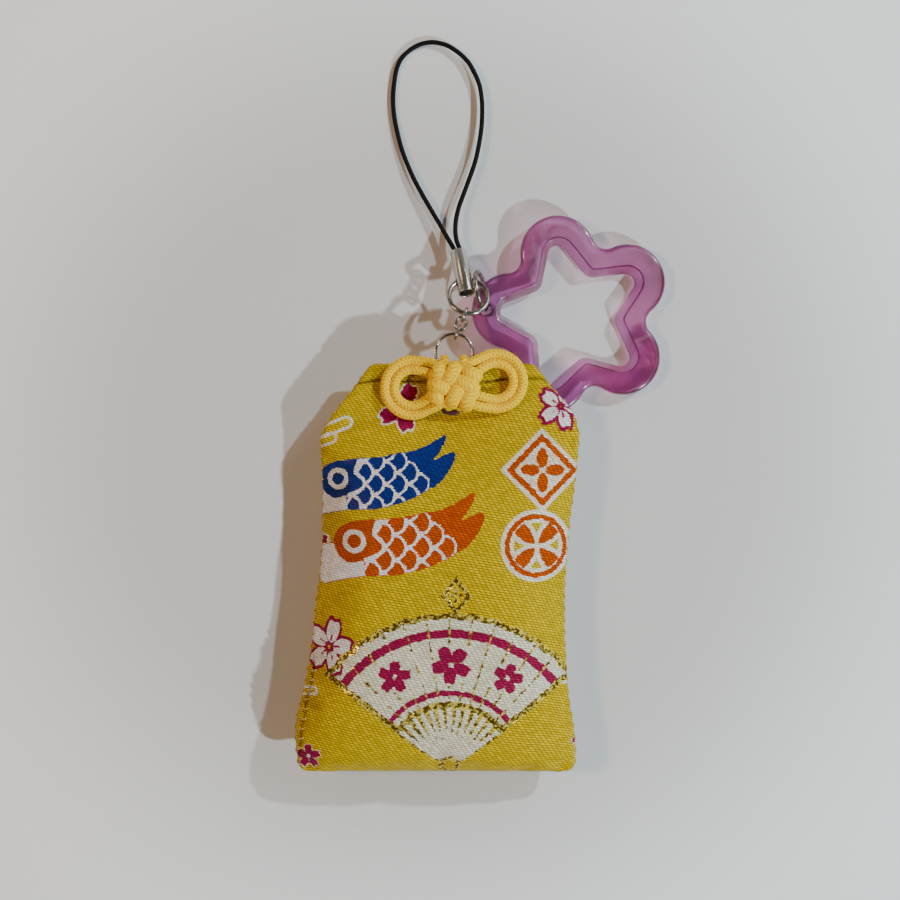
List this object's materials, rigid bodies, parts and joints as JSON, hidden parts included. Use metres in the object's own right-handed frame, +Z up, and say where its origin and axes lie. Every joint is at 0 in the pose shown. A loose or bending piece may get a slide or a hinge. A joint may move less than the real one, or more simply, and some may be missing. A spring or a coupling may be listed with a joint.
{
  "type": "amulet pouch on a phone strap",
  "caption": "Padded brocade amulet pouch closed by a braided double bow, with a split ring, short chain, crimped phone strap loop and an open star charm; lies flat, rings and charm swing.",
  "frame": {"origin": "on the flat patch of the pouch's back that rests on the surface, under the belly", "axes": "+Y from the pouch towards the strap loop, +X towards the star charm, +Z up from the surface through the pouch's front"},
  "size_m": [0.0668, 0.1316, 0.0128],
  "materials": {
    "brocade": "woven brocade with ribs and coloured figures",
    "batting": "loose polyester wadding",
    "card": "plain card in folded paper",
    "thread": "sewing thread",
    "braid": "braided cotton cord",
    "nickel": "nickel-plated wire",
    "steel": "bright crimped tube",
    "strap": "black waxed polyester cord",
    "acrylic": "clear purple moulded acrylic"
  },
  "bodies": {
    "pouch": {"pouch_front": "brocade", "pouch_back": "brocade", "wadding_front": "batting", "wadding_back": "batting", "prayer_slip": "card", "side_seam_left": "thread", "side_seam_right": "thread", "knot_left_outer_loop": "braid", "knot_left_inner_loop": "braid", "knot_right_outer_loop": "braid", "knot_right_inner_loop": "braid", "knot_crown": "braid", "cord_bight_left": "braid", "cord_bight_right": "braid"},
    "split_ring": {"split_ring": "nickel"},
    "link_lower": {"link_lower": "nickel"},
    "link_middle": {"link_middle": "nickel"},
    "link_upper": {"link_upper": "nickel"},
    "upper_ring": {"upper_ring": "nickel"},
    "strap": {"ferrule": "steel", "strap_cord": "strap"},
    "charm_ring": {"charm_ring": "nickel"},
    "star": {"star_charm": "acrylic"}
  },
  "joints": [
    {"name": "ring_turn", "type": "hinge", "parent": "pouch", "child": "split_ring", "pos_m": [0.00143, 0.0405, 0.00825], "axis": [0, 0, 1], "range_deg": [0, 25]},
    {"name": "chain_lift", "type": "hinge", "parent": "split_ring", "child": "link_lower", "pos_m": [0.00193, 0.04376, 0.00825], "axis": [0.931, -0.365, 0], "range_deg": [0, 18]},
    {"name": "chain_swing_lower", "type": "hinge", "parent": "link_lower", "child": "link_middle", "pos_m": [0.00234, 0.04481, 0.00825], "axis": [0, 0, 1], "range_deg": [0, 10]},
    {"name": "chain_swing_upper", "type": "hinge", "parent": "link_middle", "child": "link_upper", "pos_m": [0.00296, 0.0464, 0.00825], "axis": [0, 0, 1], "range_deg": [0, 10]},
    {"name": "upper_ring_lift", "type": "hinge", "parent": "link_upper", "child": "upper_ring", "pos_m": [0.00339, 0.04749, 0.00825], "axis": [0.9816, -0.1908, 0], "range_deg": [0, 6]},
    {"name": "strap_lift", "type": "hinge", "parent": "upper_ring", "child": "strap", "pos_m": [0.0032, 0.05365, 0.00532], "axis": [0.9706, 0.1691, -0.1713], "range_deg": [0, 35]},
    {"name": "charm_ring_swing", "type": "hinge", "parent": "upper_ring", "child": "charm_ring", "pos_m": [0.0055, 0.0532, 0.0052], "axis": [0, 0, 1], "range_deg": [0, 8]},
    {"name": "star_swing", "type": "hinge", "parent": "charm_ring", "child": "star", "pos_m": [0.00701, 0.04849, 0.0036], "axis": [0.0658, 0, 0.9978], "range_deg": [0, 10]}
  ]
}
